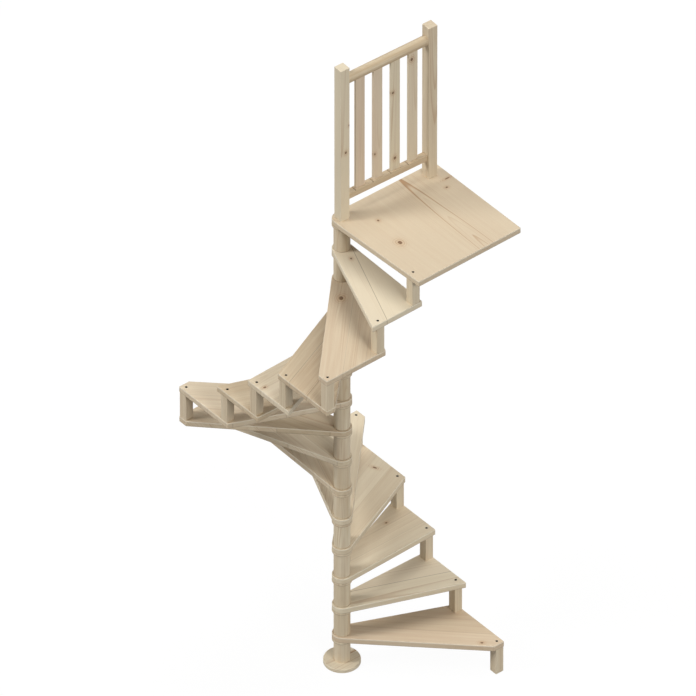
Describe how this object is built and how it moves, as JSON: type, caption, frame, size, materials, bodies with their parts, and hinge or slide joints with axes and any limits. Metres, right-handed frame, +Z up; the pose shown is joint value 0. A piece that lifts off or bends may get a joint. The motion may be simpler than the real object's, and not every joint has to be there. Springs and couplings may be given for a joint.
{
  "type": "spiral staircase",
  "caption": "Square-plan wooden spiral staircase: wedge treads around a central column, outer posts, square landing and slatted balustrade.",
  "frame": {"origin": "on the floor at the axis of the column, in the middle of the base flange's underside", "axes": "+Z up along the column; +X and +Y along the sides of the square plan; the stair climbs counter-clockwise seen from above, the first tread starting at the corner at +X and -Y"},
  "size_m": [1.255, 1.255, 4],
  "materials": {
    "tread_pine": "untreated planed pine",
    "column_pine": "untreated turned pine",
    "post_pine": "untreated planed pine",
    "rail_pine": "untreated planed pine",
    "screw_steel": "black oxide steel"
  },
  "bodies": {
    "root": {"base_flange": "column_pine", "column_spacers": "column_pine", "height_rings": "column_pine", "tread_01": "tread_pine", "tread_02": "tread_pine", "tread_03": "tread_pine", "tread_04": "tread_pine", "tread_05": "tread_pine", "tread_06": "tread_pine", "tread_07": "tread_pine", "tread_08": "tread_pine", "tread_09": "tread_pine", "tread_10": "tread_pine", "tread_11": "tread_pine", "tread_12": "tread_pine", "tread_13": "tread_pine", "tread_14": "tread_pine", "landing": "tread_pine", "foot_post": "post_pine", "post_02": "post_pine", "post_03": "post_pine", "post_04": "post_pine", "post_05": "post_pine", "post_06": "post_pine", "post_07": "post_pine", "post_08": "post_pine", "post_09": "post_pine", "post_10": "post_pine", "post_11": "post_pine", "post_12": "post_pine", "post_13": "post_pine", "post_14": "post_pine", "post_15": "post_pine", "corner_screws": "screw_steel", "newel_inner": "rail_pine", "newel_outer": "rail_pine", "handrail": "rail_pine", "bottom_rail": "rail_pine", "slat_1": "rail_pine", "slat_2": "rail_pine", "slat_3": "rail_pine", "slat_4": "rail_pine"}
  },
  "joints": []
}
